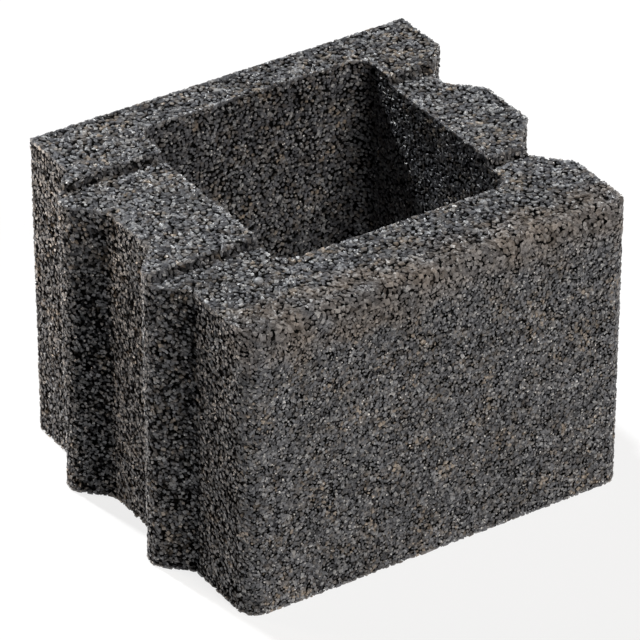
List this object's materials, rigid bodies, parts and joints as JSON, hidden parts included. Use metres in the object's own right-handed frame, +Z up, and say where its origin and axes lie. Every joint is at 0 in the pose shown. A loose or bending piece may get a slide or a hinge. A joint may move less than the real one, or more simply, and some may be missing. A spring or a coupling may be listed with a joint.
{
  "type": "concrete block",
  "caption": "Hollow concrete wall block with tongued and grooved ends, a stepped top and a rounded front edge.",
  "frame": {"origin": "middle of the bounding box's bottom, on the bed face", "axes": "+X along the length, from the tongued end to the grooved end; -Y out of the front face; +Z up"},
  "size_m": [0.32, 0.271, 0.232],
  "materials": {
    "concrete": "dark grey open-textured pressed concrete, matt"
  },
  "bodies": {
    "root": {"block": "concrete"}
  },
  "joints": []
}
